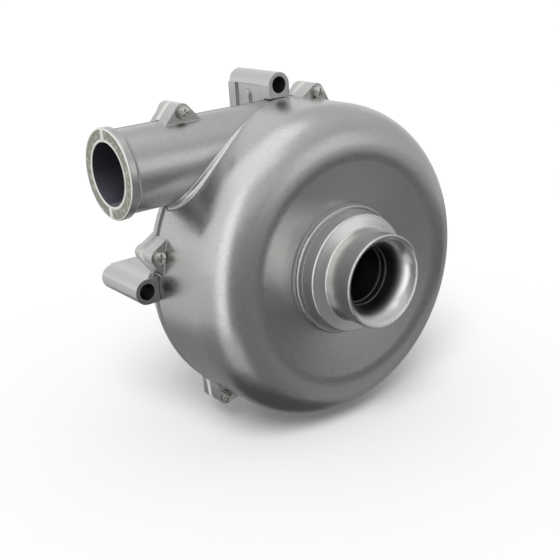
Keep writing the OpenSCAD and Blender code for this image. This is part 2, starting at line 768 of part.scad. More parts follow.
module impeller_shroud() color("slategray") placed() rotate_extrude() difference() {
    union() {
        difference() {
            polygon([[eye_r, blade_z + blade_in_h - over], [impeller_r, blade_z + blade_out_h],
                [impeller_r, blade_z + blade_out_h + shroud_t], [eye_r + eye_wall, eye_z], [eye_r, eye_z]]);
            passage_profile();
        }
        translate([eye_r, eye_z - shroud_t / 2]) square([eye_wall, eye_h + shroud_t / 2]);
    }
    translate([0, 0]) square([eye_r, past]);
}

module impeller_bush() color("goldenrod") placed() translate([0, 0, bush_z])
    ring(bush_r, bearing_in, hub_z - bush_z);

module impeller_washer() color("silver") placed() translate([0, 0, hub_z])
    ring(washer_r, thread_r, washer_t);

module impeller_nut() color("silver") placed() translate([0, 0, nut_z]) difference() {
    flat_r = nut_flats / 2;
    edge_r = flat_r + nut_edge;
    intersection() {
        linear_extrude(height = nut_h) polygon([for (i = [0:5])
            flat_r / cos(30) * [cos(60 * i), sin(60 * i)]]);
        rotate_extrude() polygon([[0, 0], [flat_r - nut_edge, 0], [edge_r, nut_edge],
            [edge_r, nut_h - nut_edge], [flat_r - nut_edge, nut_h], [0, nut_h]]);
    }
    translate([0, 0, -over]) cylinder(r = thread_r, h = nut_h + 2 * over);
}

module spacer_sleeve() color("silver") placed() translate([0, 0, front_bearing_z + bearing_w])
    ring(bearing_in + spacer_wall, bearing_in, bush_z - front_bearing_z - bearing_w);

module shaft() color("lightsteelblue") placed() {
    translate([0, 0, rear_bearing_z]) cylinder(r = bearing_in, h = shaft_step_z - rear_bearing_z);
    translate([0, 0, shaft_low]) cylinder(r = shaft_r, h = front_bearing_z - shaft_low);
    translate([0, 0, shaft_step_z - over]) cylinder(r = thread_r,
        h = nut_z + nut_h + thread_end - shaft_step_z + over);
}

// Bearings, with their rear face at z = 0

module bearing_race(inner, outer) rotate_extrude() difference() {
    edge = race_edge;
    polygon([[inner + edge, 0], [outer - edge, 0], [outer, edge], [outer, bearing_w - edge],
        [outer - edge, bearing_w], [inner + edge, bearing_w], [inner, bearing_w - edge], [inner, edge]]);
    translate([ball_c, bearing_w / 2]) circle(r = ball_r + ball_gap);
}

module outer_race(z) translate([0, 0, z]) bearing_race(ball_c + race_gap, bearing_out);
module inner_race(z) translate([0, 0, z]) bearing_race(bearing_in, ball_c - race_gap);
module balls(z) translate([0, 0, z + bearing_w / 2]) for (i = [0:ball_n - 1])
    at_angle(360 * i / ball_n, ball_c) sphere(r = ball_r);

module front_bearing_outer() color("lightgray") placed() outer_race(front_bearing_z);
module front_bearing_inner() color("lightgray") placed() inner_race(front_bearing_z);
module front_bearing_balls() color("white") placed() balls(front_bearing_z);
module rear_bearing_outer() color("lightgray") placed() outer_race(rear_bearing_z);
module rear_bearing_inner() color("lightgray") placed() inner_race(rear_bearing_z);
module rear_bearing_balls() color("white") placed() balls(rear_bearing_z);

// Split ring that holds the front bearing in the plate's hub
module bearing_circlip() color("gray") placed() translate([0, 0, circlip_z]) difference() {
    ring(bearing_out + groove_depth - hole_gap / 2, bearing_out - circlip_t, circlip_t);
    translate([0, -1.5 * circlip_t, -over]) cube([past, 3 * circlip_t, circlip_t + 2 * over]);
}

// Washer bent into three waves between the seat's floor and the rear bearing
function wave_z(i) = -rear_h + seat_floor
    + (spring_h - spring_strip) * (1 + sin(360 * spring_waves * i / spring_steps)) / 2;
function spring_point(i, r, z) = [r * cos(360 * i / spring_steps), r * sin(360 * i / spring_steps), z];
spring_points = [for (i = [0:spring_steps - 1]) each [
    spring_point(i, spring_in_r, wave_z(i)), spring_point(i, spring_out_r, wave_z(i)),
    spring_point(i, spring_out_r, wave_z(i) + spring_strip),
    spring_point(i, spring_in_r, wave_z(i) + spring_strip)]];
// Two triangles for each of the strip's four sides from one step to the next
spring_faces = [for (i = [0:spring_steps - 1], side = [0:3])
    let (here = 4 * i, there = 4 * ((i + 1) % spring_steps), next = (side + 1) % 4)
    each [[here + side, here + next, there + next], [here + side, there + next, there + side]]];

module wave_spring() color("steelblue") placed() polyhedron(points = spring_points, faces = spring_faces);

// Motor

module rotor_core() color("dimgray") placed() translate([0, 0, core_low]) ring(core_r, shaft_r, core_len);
module rotor_magnet() color("darkslategray") placed() translate([0, 0, core_low])
    ring(magnet_r, core_r, core_len);
module magnet_sleeve() color("silver") placed() translate([0, 0, core_low])
    ring(sleeve_r, magnet_r, core_len);

module balance_rings() color("goldenrod") placed() for (z = [core_top, core_low - balance_t])
    translate([0, 0, z]) ring(core_r, shaft_r, balance_t);

module stator_core() color("slategray") placed() translate([0, 0, core_low])
    linear_extrude(height = core_len) {
        difference() {
            circle(r = yoke_r);
            circle(r = yoke_in_r);
        }
        for (i = [0:tooth_n - 1]) rotate([0, 0, 360 * i / tooth_n]) intersection() {
            difference() {
                union() {
                    translate([0, -tooth_w / 2]) square([yoke_in_r + over, tooth_w]);
                    circle(r = stator_in_r + shoe_t);
                }
                circle(r = stator_in_r);
            }
            tooth_sector();
        }
    }

// Sector of one tooth along +x, less half a slot's opening on each side
module tooth_sector() {
    half = 180 / tooth_n;
    back = slot_w / 2 / sin(half);
    translate([back, 0]) polygon([[0, 0], [past * cos(half), past * sin(half)],
        [past * cos(half), -past * sin(half)]]);
}

// Rim on the yoke and a cap and two side walls on each tooth, from z = 0 upwards
module insulator(rim) {
    side_h = core_len / 2 - over;
    ring(yoke_r, yoke_in_r, rim);
    for (i = [0:tooth_n - 1]) rotate([0, 0, 360 * i / tooth_n]) {
        translate([stator_in_r + shoe_t, -tooth_w / 2 - liner_t, 0])
            cube([yoke_in_r - stator_in_r - shoe_t + over, tooth_w + 2 * liner_t, liner_cap]);
        for (side = [0, 1]) mirror([0, side, 0])
            translate([coil_x, tooth_w / 2, -side_h]) cube([coil_len, liner_t, side_h + liner_cap]);
    }
}

module front_insulator() color("ivory") placed() translate([0, 0, core_top]) insulator(insulator_h);
module rear_insulator() color("ivory") placed() translate([0, 0, core_low]) mirror([0, 0, 1])
    insulator(core_low - rim_low);

// One coil round each tooth, with rounded ends
module stator_coils() color("chocolate") placed() for (i = [0:tooth_n - 1]) rotate([0, 0, 360 * i / tooth_n])
    translate([coil_x, 0, coil_z]) rotate([0, 90, 0])
        linear_extrude(height = coil_len) difference() {
            coil_outline(coil_t);
            coil_outline(0);
        }

module coil_outline(grow) {
    half_w = tooth_w / 2 + liner_t;
    half_h = core_len / 2 + liner_cap;
    square([2 * half_h + 2 * grow, 2 * half_w], center = true);
    square([2 * half_h, 2 * half_w + 2 * grow], center = true);
    for (x = [-half_h, half_h], y = [-half_w, half_w]) translate([x, y]) circle(r = grow);
}

module circuit_board() color("darkgreen") placed() translate([0, 0, board_z]) difference() {
    cylinder(r = board_r, h = board_t);
    translate([0, 0, -over]) cylinder(r = board_hole_r, h = board_t + 2 * over);
    for (angle = BOARD_SCREWS) at_angle(angle, post_c) translate([0, 0, -over])
        cylinder(r = screw_r * small_screw + hole_gap, h = board_t + 2 * over);
    translate([-notch[0] / 2, -board_r - over, -over]) cube([notch[0], notch[1] + over, board_t + 2 * over]);
}

// Switches, capacitors and a row of pads under the board
module board_parts() color("black") placed() translate([0, 0, board_z]) {
    for (angle = SWITCHES) at_angle(angle, switch_c) below_board(switch);
    for (angle = CAPACITORS) at_angle(angle, capacitor_c) translate([0, 0, -capacitor[1]])
        cylinder(r = capacitor[0], h = capacitor[1]);
    translate([0, -pins_c, 0]) below_board(pins);
}

module below_board(size) translate([-size[0] / 2, -size[1] / 2, -size[2]]) cube(size);

module hall_sensors() color("black") placed() translate([0, 0, board_z + board_t])
    for (angle = HALLS) at_angle(angle, hall_c) translate([0, 0, hall[2]]) below_board(hall);

module board_screws() color("silver") placed() for (angle = BOARD_SCREWS) at_angle(angle, post_c)
    translate([0, 0, board_z + board_t]) scale(small_screw)
        pan_screw(board_t / small_screw + screw_bite);

// Rear cap

module cap_outline() {
    circle(r = can_r);
    for (angle = CAP_SCREWS) rotate([0, 0, angle]) translate([cap_screw_c, 0]) circle(r = cap_boss_r);
}

module cap_gasket() color("dimgray") placed() translate([0, 0, cap_z]) linear_extrude(height = cap_seal_t)
    difference() {
        cap_outline();
        circle(r = motor_r);
        for (angle = CAP_SCREWS) rotate([0, 0, angle]) translate([cap_screw_c, 0])
            circle(r = screw_r + hole_gap);
    }

module rear_cap() color("gray") placed() difference() {
    union() {
        translate([0, 0, -rear_h]) linear_extrude(height = cap_t) cap_outline();
        translate([0, 0, cap_z - over]) cylinder(r = plate_hub_r, h = shaft_low - cap_z - bush_back + over);
        for (angle = BOARD_SCREWS) at_angle(angle, post_c) translate([0, 0, cap_z - over])
            cylinder(r = post_r, h = board_z - cap_z + over);
    }
    translate([0, 0, -rear_h + seat_floor]) cylinder(r = bearing_out + fit_gap, h = past);
    for (angle = CAP_SCREWS) at_angle(angle, cap_screw_c) {
        translate([0, 0, -rear_h - over]) cylinder(r = screw_r + hole_gap, h = cap_t + 2 * over);
        translate([0, 0, -rear_h]) mirror([0, 0, 1]) countersink(hole_gap);
    }
    for (angle = BOARD_SCREWS) at_angle(angle, post_c) translate([0, 0, cap_z])
        cylinder(r = screw_r * small_screw + fit_gap, h = past);
    translate([0, 0, -rear_h - over]) ring(motor_r - recess_rim, plate_hub_r + recess_land,
        over + cap_recess);
}

module cap_screws() color("silver") placed() for (angle = CAP_SCREWS) at_angle(angle, cap_screw_c)
    translate([0, 0, -rear_h]) mirror([0, 0, 1]) flat_screw(cap_t + cap_seal_t + 2 * screw_bite);

// Rubber grommet in the can's wall, its bore open because no cable is fitted
module cable_grommet() color("black") placed() translate([0, 0, grommet_z]) rotate([90, 0, 0])
    rotate_extrude() difference() {
        union() {
            translate([0, motor_r - grommet_flange]) square([grommet_r, wall + 2 * grommet_flange]);
            translate([0, can_r]) square([grommet_r + grommet_flange, grommet_flange]);
        }
        square([grommet_r - grommet_wall, past]);
    }

front_cover();
inlet_nozzle();
housing_gasket();
rear_housing();
cover_screws();
bearing_plate();
plate_screws();
impeller();
impeller_shroud();
impeller_bush();
impeller_washer();
impeller_nut();
spacer_sleeve();
shaft();
front_bearing_outer();
front_bearing_inner();
front_bearing_balls();
bearing_circlip();
rear_bearing_outer();
rear_bearing_inner();
rear_bearing_balls();
wave_spring();
rotor_core();
rotor_magnet();
magnet_sleeve();
balance_rings();
stator_core();
front_insulator();
rear_insulator();
stator_coils();
circuit_board();
board_parts();
hall_sensors();
board_screws();
cable_grommet();
cap_gasket();
rear_cap();
cap_screws();
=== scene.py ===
# %% [markdown]
# # A small air blower in cast aluminium
# The solids come from the CAD frame: a round drum in two halves, a turned inlet nozzle, an outlet duct, screw
# lugs, and a fan on a motor inside. This script gives them their finishes, and adds a fillet that a casting has and
# the plain solids lack. Lengths are written in millimetres and turned into metres where they are used.

# %% Load the frame
import json

import bpy
import numpy as np
from mathutils import Matrix


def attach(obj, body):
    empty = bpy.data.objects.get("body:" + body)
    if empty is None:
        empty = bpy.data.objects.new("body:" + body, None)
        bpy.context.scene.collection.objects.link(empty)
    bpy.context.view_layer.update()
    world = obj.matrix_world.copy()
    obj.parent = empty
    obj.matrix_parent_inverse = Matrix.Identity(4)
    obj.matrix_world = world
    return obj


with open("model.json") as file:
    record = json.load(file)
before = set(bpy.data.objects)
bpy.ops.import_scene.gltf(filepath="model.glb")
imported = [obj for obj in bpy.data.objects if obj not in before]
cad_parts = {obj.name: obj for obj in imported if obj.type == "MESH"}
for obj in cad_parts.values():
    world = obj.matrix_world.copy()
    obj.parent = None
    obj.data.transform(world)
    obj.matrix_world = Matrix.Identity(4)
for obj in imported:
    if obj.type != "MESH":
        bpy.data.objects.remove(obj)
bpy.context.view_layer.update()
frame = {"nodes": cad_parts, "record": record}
nodes = frame["nodes"]
scene = bpy.context.scene
MM = 0.001
print("nodes in the frame:", len(nodes))

# %% [markdown]
# ## The camera
# The real picture was taken from the left and a little above, through a short telephoto lens. The direction, the
# distance and the lens were found by fitting circles of known size, such as the nozzle's mouth and the outlet, to
# their outlines in the picture. A camera looks along its own -Z, so its matrix is built from three unit vectors:
# right, up and back. An image that is turned a little means that right and up turn round the line of sight.

# %% Viewpoint
AZIMUTH, ELEVATION, ROLL = np.radians([-36.70, 20.0, -3.65])
TARGET = np.array([0.0, -34.0, 0.0])
DISTANCE, ASIDE, ABOVE = 275.76, -3.42, -8.42

back = np.array([np.sin(AZIMUTH) * np.cos(ELEVATION), -np.cos(AZIMUTH) * np.cos(ELEVATION), np.sin(ELEVATION)])
level = np.array([np.cos(AZIMUTH), np.sin(AZIMUTH), 0.0])
upright = np.cross(back, level)
right = np.cos(ROLL) * level + np.sin(ROLL) * upright
up = np.cos(ROLL) * upright - np.sin(ROLL) * level
eye = TARGET + DISTANCE * back + ASIDE * right + ABOVE * up
print("the eye is at", np.round(eye, 1), "mm")

# %% Camera
FOCAL_PIXELS, IMAGE_PIXELS, SENSOR, NEAREST = 965.65, 560, 36.0, 10


def put(obj, x, y, z, place):
    """Links an object to the scene. The columns of its matrix are its own X, Y and Z directions, as unit vectors,
    and its place, in millimetres."""
    matrix = np.eye(4)
    matrix[:3, :3] = np.stack([x, y, z], 1)
    matrix[:3, 3] = place * MM
    scene.collection.objects.link(obj)
    obj.matrix_world = Matrix(matrix.tolist())
    return obj


camera_data = bpy.data.cameras.new("portrait_camera")
camera_data.sensor_width = SENSOR
camera_data.lens = SENSOR * FOCAL_PIXELS / IMAGE_PIXELS
camera_data.clip_start = NEAREST * MM
scene.camera = put(bpy.data.objects.new("portrait_camera", camera_data), right, up, back, eye)
print("lens", round(camera_data.lens, 2), "mm")

# %% [markdown]
# ## The world
# The background is white for the rays that the lens, the gloss and clear things follow. As plain light on the
# object the world is weaker, so that colours come out as they are written. Light Path says which kind of ray asks.
# Lamps alone could light the object too, but a pale world fills the shadows evenly, as large soft boxes do.

# %% World
AMBIENT = 0.62


def linked(tree, kind, **settings):
    """A new shader node of one kind, with its plain properties set."""
    node = tree.nodes.new(kind)
    for key, value in settings.items():
        setattr(node, key, value)
    return node


scene.view_settings.view_transform = "Standard"
world = bpy.data.worlds.new("white_studio")
scene.world = world
world.use_nodes = True
tree = world.node_tree
tree.nodes.clear()
rays = linked(tree, "ShaderNodeLightPath")
seen = rays.outputs["Is Camera Ray"]
for kind in ("Is Glossy Ray", "Is Transmission Ray"):
    larger = linked(tree, "ShaderNodeMath", operation="MAXIMUM")
    tree.links.new(seen, larger.inputs[0])
    tree.links.new(rays.outputs[kind], larger.inputs[1])
    seen = larger.outputs[0]
strength = linked(tree, "ShaderNodeMapRange")
strength.inputs["To Min"].default_value = AMBIENT
tree.links.new(seen, strength.inputs["Value"])
sky = linked(tree, "ShaderNodeBackground")
sky.inputs["Color"].default_value = (1, 1, 1, 1)
tree.links.new(strength.outputs[0], sky.inputs["Strength"])
tree.links.new(sky.outputs[0], linked(tree, "ShaderNodeOutputWorld").inputs["Surface"])
print("ambient light", AMBIENT)

# %% [markdown]
# ## The sun
# One sun, high on the left in front, gives the floor its shadow. An area lamp would do it as well, but a sun needs
# only one number, the angle that it fills, to say how soft its shadow is. Its mirror image on a rounded shoulder
# would be a blob that the real object doesn't show, so the gloss doesn't see it.

# %% Sun
SUN_TOWARD, SUN_WIDTH, SUN_POWER, SUN_AWAY = (-0.5, -0.55, 0.9), 30, 1.7, 500


def sun(name, toward, width, power):
    """A sun in a direction, as wide as an angle in degrees. Its own Z points at it, and its X is level."""
    data = bpy.data.lights.new(name, "SUN")
    data.energy = power
    data.angle = np.radians(width)
    z = np.array(toward) / np.linalg.norm(toward)
    x = np.cross([0.0, 0.0, 1.0], z)
    x /= np.linalg.norm(x)
    return put(bpy.data.objects.new(name, data), x, np.cross(z, x), z, SUN_AWAY * z)


key = sun("key_sun", SUN_TOWARD, SUN_WIDTH, SUN_POWER)
key.visible_glossy = False
print("sun of", SUN_POWER, "and", SUN_WIDTH, "degrees")

# %% [markdown]
# ## The floor
# A large matt white square just under the lugs. It keeps the shadow, and the gloss looks through it at the cards
# that come next, because the floor of the real picture doesn't show in the metal either.

# %% Floor
FLOOR_Z, FLOOR_HALF = -45.5, 4000
WHITE, BLACK = (0.98,) * 3, (0.0,) * 3


def mesh_object(name, verts, faces, smooth=True):
    """A mesh from whole arrays of vertices in millimetres and of faces."""
    mesh = bpy.data.meshes.new(name)
    mesh.from_pydata((np.asarray(verts, float) * MM).tolist(), [], [tuple(map(int, f)) for f in faces])
    mesh.polygons.foreach_set("use_smooth", np.full(len(mesh.polygons), smooth))
    mesh.update()
    obj = bpy.data.objects.new(name, mesh)
    scene.collection.objects.link(obj)
    return obj


def studio_surface(name, colour, glow=0.0):
    """A matt material without gloss, which may glow white."""
    mat = bpy.data.materials.new(name)
    mat.use_nodes = True
    shader = mat.node_tree.nodes["Principled BSDF"]
    shader.inputs["Base Color"].default_value = (*colour, 1)
    shader.inputs["Roughness"].default_value = 1.0
    shader.inputs["Specular IOR Level"].default_value = 0.0
    shader.inputs["Emission Color"].default_value = (1, 1, 1, 1)
    shader.inputs["Emission Strength"].default_value = glow
    return mat


corners = np.array([(-1, -1, 0), (1, -1, 0), (1, 1, 0), (-1, 1, 0)]) * FLOOR_HALF + (0, 0, FLOOR_Z)
floor = mesh_object("floor", corners, [(0, 1, 2, 3)], False)
floor.data.materials.append(studio_surface("floor_white", WHITE))
floor.visible_glossy = False
print("floor at", FLOOR_Z, "mm")

# %% [markdown]
# ## The tent of cards
# A metal object shows its surroundings, so the studio is most of its look. Shiny things are photographed inside a
# tent of white, grey and black cards, and so is this one. Each card is a piece of a large sphere round the object,
# and only the gloss sees it. The brightest, beside the camera on the left, make the band along the shoulder and the
# line along the duct. The dark ones low in front keep the dish grey. Those on the left and behind light the drum's
# side, and together with those on the right they light the back. An image of a real studio wrapped round the scene
# would do as much, but this one needs no file.

# %% Card table
TENT_R, TENT_MIDDLE = 700.0, np.array([0.0, -34.0, 0.0])
TENT = [
    # azimuth from and to, counted from +X towards +Y, elevation from and to, in degrees, and brightness
    (201, 224, -34, 0, 1.7), (201, 224, 0, 50, 1.9), (190, 236, -60, -34, 0.75), (165, 201, -34, 0, 0.85),
    (165, 201, 0, 50, 1.2), (120, 165, -30, 0, 0.85), (120, 165, 0, 50, 1.1), (60, 120, -30, 0, 0.7),
    (60, 120, 0, 60, 1.0), (240, 300, -60, -10, 0.28), (224, 240, -34, -10, 0.26), (224, 285, -10, 4, 0.36),
    (224, 270, 4, 20, 0.45), (270, 285, 4, 20, 0.7), (224, 285, 20, 50, 0.8), (285, 316, 4, 31, 1.15),
    (285, 340, -10, 4, 0.52), (316, 340, 4, 31, 0.75), (285, 340, 31, 50, 0.7), (300, 350, -60, -26, 0.42),
    (300, 350, -26, -10, 0.16), (340, 380, -10, 30, 0.7), (380, 420, -10, 30, 0.95), (340, 420, 30, 60, 0.8),
    (350, 420, -30, -10, 0.4), (270, 340, 50, 70, 0.85), (120, 270, 50, 70, 1.5), (-20, 60, 60, 70, 0.8),
    (60, 120, 60, 70, 1.2), (350, 550, -60, -30, 0.32), (0, 360, 70, 90, 1.6), (0, 360, -90, -60, 0.1),
]
print("cards:", len(TENT), "brightness from", min(c[-1] for c in TENT), "to", max(c[-1] for c in TENT))


# %% Tent
def grid_faces(rows, columns):
    """Faces of a grid of points that are numbered row by row: each joins a point, the next in its row, and the two
    after them in the next row."""
    i, j = np.meshgrid(np.arange(rows - 1), np.arange(columns - 1), indexing="ij")
    k = (i * columns + j).ravel()
    return np.stack([k, k + 1, k + columns + 1, k + columns], 1)


def tent_card(name, low_az, high_az, low_el, high_el, brightness, points=13):
    """A glowing piece of the tent: points at even steps of azimuth a and elevation e, in the direction
    (cos e cos a, cos e sin a, sin e)."""
    a, e = np.meshgrid(np.radians(np.linspace(low_az, high_az, points)),
                       np.radians(np.linspace(low_el, high_el, points)))
    toward = np.stack([np.cos(e) * np.cos(a), np.cos(e) * np.sin(a), np.sin(e)], -1)
    card = mesh_object(name, TENT_MIDDLE + TENT_R * toward.reshape(-1, 3), grid_faces(points, points))
    card.data.materials.append(studio_surface(name, BLACK, brightness))
    card.visible_camera = card.visible_diffuse = card.visible_shadow = False
    return card


cards = [tent_card("tent_card_%02d" % n, *row) for n, row in enumerate(TENT)]
print("cards made:", len(cards), "with", sum(len(c.data.polygons) for c in cards), "faces")

# %% [markdown]
# ## How a finish is made
# Every finish is one principled shader with patterns on its colour, its roughness and its relief. The patterns
# read Object coordinates, which are the frame's own metres here, so that a grain has the same real size on every
# node and never slides when the rotor turns.

# %% A finish
FINISHES = {}


class Finish:
    """A material under construction: its shader, its flat colour and the place that its patterns read."""

    def __init__(self, name, colour, metallic, roughness):
        self.mat = bpy.data.materials.new(name)
        self.mat.use_nodes = True
        self.tree = self.mat.node_tree
        self.shader = self.tree.nodes["Principled BSDF"]
        self.shader.inputs["Base Color"].default_value = (*colour, 1)
        self.shader.inputs["Metallic"].default_value = metallic
        self.shader.inputs["Roughness"].default_value = roughness
        self.colour = np.array(colour)
        self.place = self.node("ShaderNodeTexCoord").outputs["Object"]
        FINISHES[name] = self.mat

    def node(self, kind, **settings):
        """A new node of this material."""
        return linked(self.tree, kind, **settings)

    def link(self, a, b):
        """Joins an output to an input."""
        self.tree.links.new(a, b)


print("finishes so far:", len(FINISHES))

# %% [markdown]
# ## Grain
# Fine grain on a casting, cloudiness in its sheen and the rings of a lathe are all noise at another size or in
# another direction. A photograph of metal could be laid on instead, but noise has no seams and needs no unwrapping.
# It reads the place in metres, so its scale is a thousand over the grain in millimetres.

# %% Noise and its range
NOISE_LOW, NOISE_HIGH = 0.3, 0.7


def noise_at(finish, place, scale, detail=2.0):
    """A noise from 0 to 1 that reads a place of its own."""
    tex = finish.node("ShaderNodeTexNoise")
    tex.inputs["Scale"].default_value = scale
    tex.inputs["Detail"].default_value = detail
    finish.link(place, tex.inputs["Vector"])
    return tex.outputs["Fac"]


def noise(finish, grain_mm, detail=2.0, stretch=(1, 1, 1)):
    """A noise from 0 to 1 whose lumps are about grain_mm wide, and as many times longer per axis as stretch says."""
    scale = finish.node("ShaderNodeMapping")
    scale.inputs["Scale"].default_value = [1000.0 / grain_mm / s for s in stretch]
    finish.link(finish.place, scale.inputs["Vector"])
    return noise_at(finish, scale.outputs[0], 1.0, detail)


def spread(finish, value, low, high, start=NOISE_LOW, end=NOISE_HIGH):
    """Maps a value between start and end, the limits that a noise seldom passes, onto low to high."""
    ramp = finish.node("ShaderNodeMapRange")
    for socket, number in (("From Min", start), ("From Max", end), ("To Min", low), ("To Max", high)):
        ramp.inputs[socket].default_value = number
    finish.link(value, ramp.inputs["Value"])
    return ramp.outputs[0]


print("patterns:", noise_at.__name__, noise.__name__, spread.__name__)

# %% [markdown]
# A pattern works on one of the shader's sockets: the colour, the roughness, or the normal that bumps tilt. Bumps
# lie on top of each other, and the lowest layer can be the softened edges.

# %% Colour, roughness and relief
# a Mix node has sockets for each kind of value: the numbers of the two that go in, and of the one that comes out
MIX = {"RGBA": (6, 7, 2), "FLOAT": (2, 3, 0)}
EDGE_SAMPLES = 6


def tint(finish, value, low, high):
    """Base colour from low to high times the finish's own colour, by a noise."""
    mix = finish.node("ShaderNodeMix", data_type="RGBA")
    first, second, mixed = MIX["RGBA"]
    for socket, times in ((first, low), (second, high)):
        mix.inputs[socket].default_value = (*np.clip(finish.colour * times, 0, 1), 1)
    finish.link(spread(finish, value, 0, 1), mix.inputs[0])
    finish.link(mix.outputs[mixed], finish.shader.inputs["Base Color"])


def sheen(finish, value, low, high):
    """Roughness from low to high by a noise."""
    finish.link(spread(finish, value, low, high), finish.shader.inputs["Roughness"])


def relief(finish, height, depth_mm, before=None):
    """Bumps of a given depth, on top of an earlier relief if there is one."""
    bump = finish.node("ShaderNodeBump")
    bump.inputs["Distance"].default_value = depth_mm * MM
    finish.link(height, bump.inputs["Height"])
    if before:
        finish.link(before, bump.inputs["Normal"])
    finish.link(bump.outputs[0], finish.shader.inputs["Normal"])
    return bump.outputs[0]


def soft_edges(finish, radius_mm):
    """Edges that shade as if they were rounded."""
    edge = finish.node("ShaderNodeBevel", samples=EDGE_SAMPLES)
    edge.inputs["Radius"].default_value = radius_mm * MM
    finish.link(edge.outputs[0], finish.shader.inputs["Normal"])
    return edge.outputs[0]


print("helpers on the shader:", tint.__name__, sheen.__name__, relief.__name__, soft_edges.__name__)

# %% [markdown]
# ## Masks
# One casting carries many surfaces: silky skin, polished ears, bores painted dark as shade and a rough cut face.
# They need no meshes of their own, because each lies in a place that a few distances describe. A mask is 1 on such a
# place and 0 elsewhere. Two masks are joined by a product (both) or by the larger (either).

# %% Distances
ROUND_Y, ROUND_X = (1, 0, 1), (0, 1, 1)


def maths(finish, kind, *values):
    """One of Blender's math nodes on values that are sockets or plain numbers."""
    math = finish.node("ShaderNodeMath", operation=kind)
    for k, value in enumerate(values):
        if isinstance(value, float):
            math.inputs[k].default_value = value
        else:
            finish.link(value, math.inputs[k])
    return math.outputs[0]


def along(finish, axis):
    """The place along X, Y or Z (0, 1 or 2), in metres."""
    parts = finish.node("ShaderNodeSeparateXYZ")
    finish.link(finish.place, parts.inputs[0])
    return parts.outputs[axis]


def axis_distance(finish, centre=(0, 0, 0), across=ROUND_Y):
    """Distance in metres from an axis through a centre in metres: the length of (place - centre), with the part
    along the axis taken out. Without more words the axis is the shaft's."""
    vector = finish.place
    for kind, operand in (("SUBTRACT", centre), ("MULTIPLY", across), ("LENGTH", None)):
        step = finish.node("ShaderNodeVectorMath", operation=kind)
        finish.link(vector, step.inputs[0])
        if operand:
            step.inputs[1].default_value = operand
        vector = step.outputs["Value" if kind == "LENGTH" else "Vector"]
    return vector


print("measures:", maths.__name__, along.__name__, axis_distance.__name__)

# %% Masks and what they change
def below(finish, value, limit_mm):
    """1 where a value in metres is under a limit in millimetres."""
    return maths(finish, "LESS_THAN", value, limit_mm * MM)


def beyond(finish, value, limit_mm):
    """1 where a value in metres is over a limit in millimetres."""
    return maths(finish, "GREATER_THAN", value, limit_mm * MM)


def fade(finish, value, full_mm, none_mm):
    """A mask that falls from 1 to 0 while a value in metres goes from one limit in millimetres to the other."""
    return spread(finish, value, 1, 0, full_mm * MM, none_mm * MM)


def both(finish, a, b):
    """1 where both masks are 1: their product."""
    return maths(finish, "MULTIPLY", a, b)


def either(finish, a, b):
    """1 where one of the masks is 1: the larger of the two."""
    return maths(finish, "MAXIMUM", a, b)


def where(finish, mask, colour, roughness):
    """Another colour and roughness where a mask is 1, mixed over what the shader had."""
    for socket, kind, value in (("Base Color", "RGBA", (*colour, 1)), ("Roughness", "FLOAT", roughness)):
        mix = finish.node("ShaderNodeMix", data_type=kind)
        old, new, mixed = MIX[kind]
        finish.link(mask, mix.inputs[0])
        finish.link(finish.shader.inputs[socket].links[0].from_socket, mix.inputs[old])
        mix.inputs[new].default_value = value
        finish.link(mix.outputs[mixed], finish.shader.inputs[socket])


print("masks:", below.__name__, beyond.__name__, fade.__name__, both.__name__, either.__name__, where.__name__)

# %% [markdown]
# ## Cast aluminium
# A cast skin is a soft metal: it reflects, but through fine grain, so its highlights are broad. A coarse and a fine
# noise tilt the surface a little, the fine one also changes how bright it is, and one between them how rough. Edges
# are softened in the shading, as a mould never makes a sharp one. Real bumps this small would need millions of faces.

# %% Skin of the casting
FINE_GRAIN, COARSE_GRAIN, CLOUDS = 0.7, 2.6, 1.2

cast = Finish("cast_aluminium", (0.45, 0.45, 0.445), 1.0, 0.32)
tint(cast, noise(cast, FINE_GRAIN, 3), low=0.95, high=1.05)
sheen(cast, noise(cast, CLOUDS, 3), low=0.27, high=0.33)
rounded = soft_edges(cast, radius_mm=0.35)
uneven = relief(cast, noise(cast, COARSE_GRAIN), depth_mm=0.01, before=rounded)
relief(cast, noise(cast, FINE_GRAIN), depth_mm=0.006, before=uneven)
print("nodes of the cast skin:", len(cast.tree.nodes))

# %% [markdown]
# The lugs and the screw ears stand out from the drum and the duct, get touched, and are polished. Their bores are
# painted dark as painted shade, and the lugs' bores are found by the mounts that the record lists.

# %% Ears, lugs and their bores
REAR_H, DRUM_R = 31.5, 43.3
DUCT_R, DUCT_Z, RING_R, BORE_R = 10.7, 32.4, 11.6, 8.4
OFF_DRUM, OFF_DUCT, LUG_BORE_R = 2.5, 2.0, 2.3
POLISHED = (0.5, 0.5, 0.495), 0.13
# painted shade: the lugs' bores are coloured near black, for the shade inside them
LUG_BORE_PAINTED_SHADE = (0.1, 0.1, 0.1), 0.6


def duct_distance(finish):
    """Distance from the outlet duct's axis, in metres, and a metre more beyond the shaft, where no duct is."""
    far = axis_distance(finish, (0, -REAR_H * MM, DUCT_Z * MM), ROUND_X)
    return maths(finish, "ADD", far, beyond(finish, along(finish, 0), 0.0))


off_duct = duct_distance(cast)
outside = both(cast, fade(cast, axis_distance(cast), DRUM_R + OFF_DRUM, DRUM_R),
               fade(cast, off_duct, RING_R + OFF_DUCT, RING_R))
where(cast, outside, *POLISHED)
lugs = [mount for mount in frame["record"]["mounts"] if mount["name"].startswith("lug_")]
for mount in lugs:
    where(cast, below(cast, axis_distance(cast, mount["pos_m"]), LUG_BORE_R), *LUG_BORE_PAINTED_SHADE)
print("lugs:", [mount["name"] for mount in lugs])
